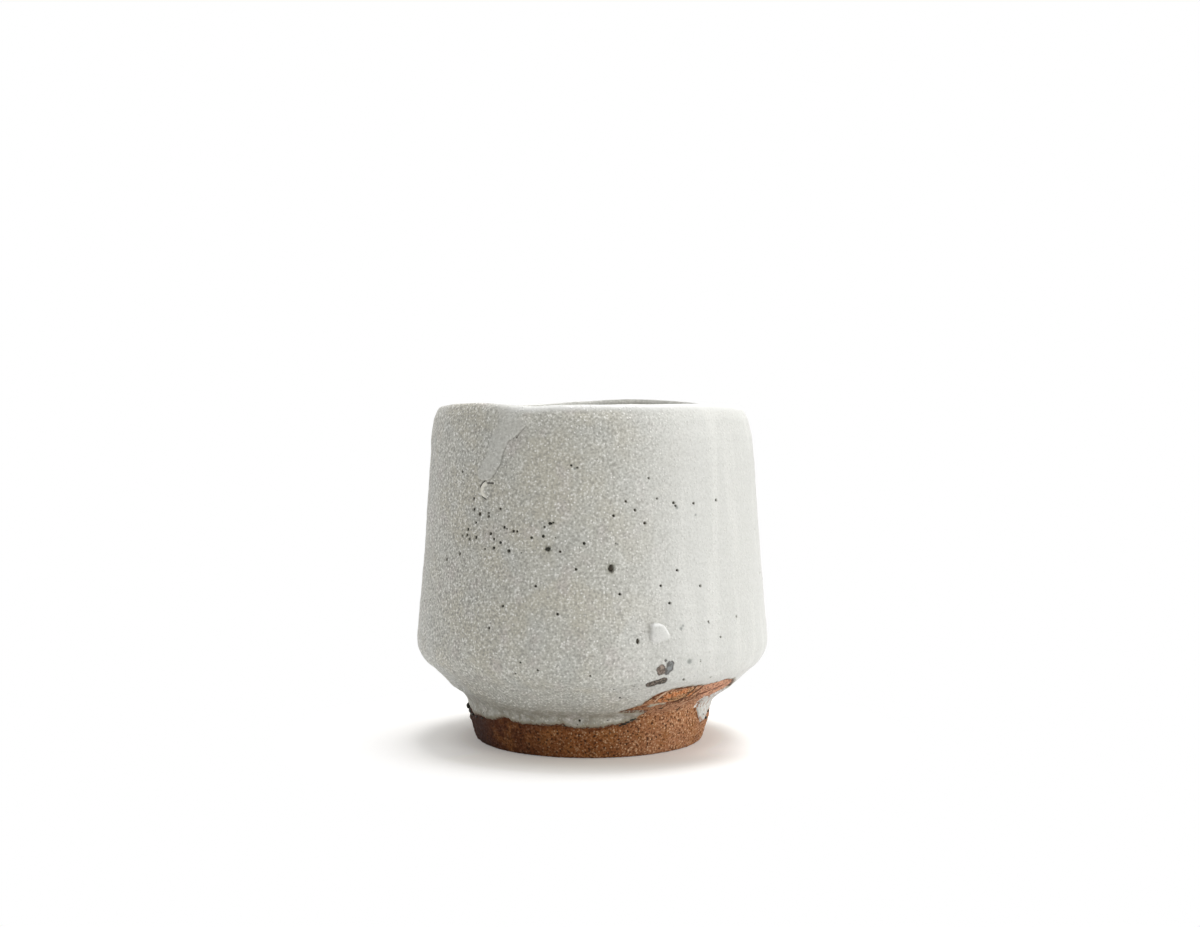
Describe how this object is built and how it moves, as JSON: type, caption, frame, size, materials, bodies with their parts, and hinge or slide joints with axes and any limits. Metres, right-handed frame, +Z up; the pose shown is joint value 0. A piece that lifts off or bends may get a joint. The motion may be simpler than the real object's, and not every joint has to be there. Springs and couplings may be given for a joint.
{
  "type": "yunomi tea cup",
  "caption": "Handleless stoneware tea cup with a thrown wall, angled underside and bare foot ring, under an uneven white glaze with a run, a bare patch and iron spots.",
  "frame": {"origin": "on the cup's axis, at the flat face of the foot ring that the cup rests on", "axes": "+Z up along the cup's axis; -Y is the side that the picture is taken from, with +X to its right"},
  "size_m": [0.0864, 0.0862, 0.0829],
  "materials": {
    "stoneware": "matte",
    "white_glaze": "satin",
    "liner_glaze": "satin",
    "second_glaze": "satin",
    "iron": "satin"
  },
  "bodies": {
    "root": {"stoneware_body": "stoneware", "foot_ring": "stoneware", "outer_glaze": "white_glaze", "inner_glaze": "liner_glaze", "glaze_run": "second_glaze", "glaze_drop": "second_glaze", "iron_spots": "iron", "hem_beads": "iron"}
  },
  "joints": []
}
